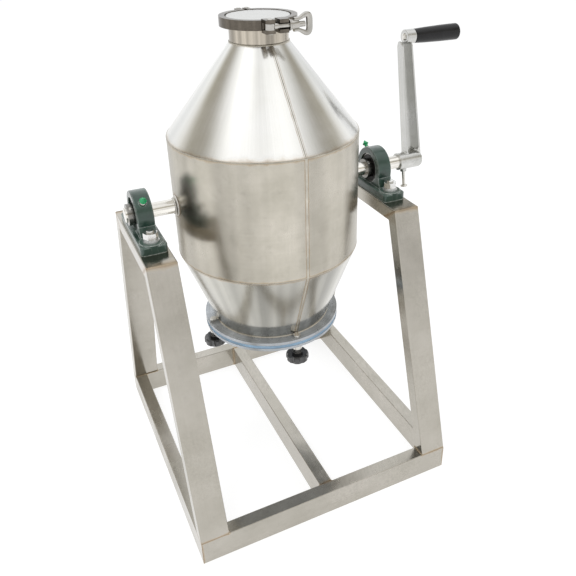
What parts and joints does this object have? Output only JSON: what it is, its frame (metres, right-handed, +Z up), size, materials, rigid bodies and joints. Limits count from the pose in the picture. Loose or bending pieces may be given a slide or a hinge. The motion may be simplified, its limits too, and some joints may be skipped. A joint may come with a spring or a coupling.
{
  "type": "manual powder mixer",
  "caption": "Hand-cranked tumbling mixer: a double-cone steel drum turning on pillow-block bearings in an open tube stand.",
  "frame": {"origin": "on the floor, midway between the two trestles and midway between the front and back rails", "axes": "+X along the shaft towards the crank, +Y from the front rail to the back rail, +Z up"},
  "size_m": [0.5335, 0.41, 0.6865],
  "materials": {
    "frame_steel": "brushed, with heat-tinted welds",
    "drum_steel": "satin sheet with polished cones",
    "turned_steel": "fine turned",
    "fastener_steel": "bright plated",
    "bearing_steel": "ground and polished",
    "housing_paint": "dark green paint over a cast surface",
    "seal_rubber": "matte black",
    "gasket_rubber": "blue-grey silicone",
    "cage_plastic": "plain",
    "cap_plastic": "bright green",
    "knob_plastic": "moulded black",
    "grip_plastic": "moulded black, fine grain"
  },
  "bodies": {
    "frame": {"front_rail": "frame_steel", "back_rail": "frame_steel", "left_rail": "frame_steel", "right_rail": "frame_steel", "middle_rail": "frame_steel", "front_left_leg": "frame_steel", "back_left_leg": "frame_steel", "front_right_leg": "frame_steel", "back_right_leg": "frame_steel", "left_beam": "frame_steel", "right_beam": "frame_steel", "left_housing": "housing_paint", "right_housing": "housing_paint", "outer_rings": "bearing_steel", "bearing_seals": "seal_rubber", "grease_nipples": "fastener_steel", "nipple_caps": "cap_plastic", "housing_bolts": "fastener_steel", "housing_nuts": "fastener_steel", "housing_washers": "fastener_steel", "housing_lock_washers": "fastener_steel"},
    "drum": {"drum_cylinder": "drum_steel", "upper_cone": "drum_steel", "lower_cone": "drum_steel", "neck_ferrule": "turned_steel", "top_gasket": "gasket_rubber", "top_cap": "turned_steel", "clamp_left_half": "turned_steel", "clamp_right_half": "turned_steel", "clamp_link": "turned_steel", "clamp_link_pins": "turned_steel", "clamp_bolt_pin": "turned_steel", "bottom_flange": "turned_steel", "bottom_gasket": "gasket_rubber", "bottom_lid": "turned_steel", "lid_studs": "fastener_steel", "stud_sleeves": "turned_steel", "left_shaft": "turned_steel", "right_shaft": "turned_steel", "left_pad": "drum_steel", "right_pad": "drum_steel", "inner_rings": "bearing_steel", "ring_screws": "fastener_steel", "crank_hub": "turned_steel", "crank_arm": "turned_steel", "grip_spindle": "turned_steel"},
    "left_ball_set": {"left_balls": "bearing_steel", "left_ball_cage": "cage_plastic"},
    "right_ball_set": {"right_balls": "bearing_steel", "right_ball_cage": "cage_plastic"},
    "crank_grip": {"crank_grip": "grip_plastic"},
    "crank_screw": {"crank_screw": "fastener_steel"},
    "knob_front": {"knob_front": "knob_plastic"},
    "knob_right": {"knob_right": "knob_plastic"},
    "knob_back": {"knob_back": "knob_plastic"},
    "knob_left": {"knob_left": "knob_plastic"},
    "clamp_bolt": {"clamp_bolt": "turned_steel"},
    "wing_nut": {"wing_nut": "turned_steel"}
  },
  "joints": [
    {"name": "drum_spin", "type": "hinge", "parent": "frame", "child": "drum", "pos_m": [0, 0, 0.4433], "axis": [1, 0, 0], "continuous": true},
    {"name": "left_balls_roll", "type": "hinge", "parent": "frame", "child": "left_ball_set", "pos_m": [-0.178, 0, 0.4433], "axis": [1, 0, 0], "continuous": true},
    {"name": "right_balls_roll", "type": "hinge", "parent": "frame", "child": "right_ball_set", "pos_m": [0.178, 0, 0.4433], "axis": [1, 0, 0], "continuous": true},
    {"name": "grip_spin", "type": "hinge", "parent": "drum", "child": "crank_grip", "pos_m": [0.275, 0.03169, 0.62303], "axis": [1, 0, 0], "continuous": true},
    {"name": "crank_screw_turn", "type": "hinge", "parent": "drum", "child": "crank_screw", "pos_m": [0.2295, 0, 0.4433], "axis": [0, 0.1736, 0.9848], "continuous": true},
    {"name": "knob_front_turn", "type": "hinge", "parent": "drum", "child": "knob_front", "pos_m": [0, -0.094, 0.214], "axis": [0, 0, 1], "continuous": true},
    {"name": "knob_right_turn", "type": "hinge", "parent": "drum", "child": "knob_right", "pos_m": [0.094, 0, 0.214], "axis": [0, 0, 1], "continuous": true},
    {"name": "knob_back_turn", "type": "hinge", "parent": "drum", "child": "knob_back", "pos_m": [0, 0.094, 0.214], "axis": [0, 0, 1], "continuous": true},
    {"name": "knob_left_turn", "type": "hinge", "parent": "drum", "child": "knob_left", "pos_m": [-0.094, 0, 0.214], "axis": [0, 0, 1], "continuous": true},
    {"name": "clamp_bolt_swing", "type": "hinge", "parent": "drum", "child": "clamp_bolt", "pos_m": [-0.0085, -0.0585, 0.6723], "axis": [0, 0, -1], "range_deg": [0, 100]},
    {"name": "wing_nut_turn", "type": "hinge", "parent": "clamp_bolt", "child": "wing_nut", "pos_m": [0.0156, -0.0585, 0.6723], "axis": [1, 0, 0], "continuous": true}
  ],
  "couplings": [
    {"joint": "left_balls_roll", "follows": "drum_spin", "ratio": 0.3815},
    {"joint": "right_balls_roll", "follows": "drum_spin", "ratio": 0.3815}
  ]
}
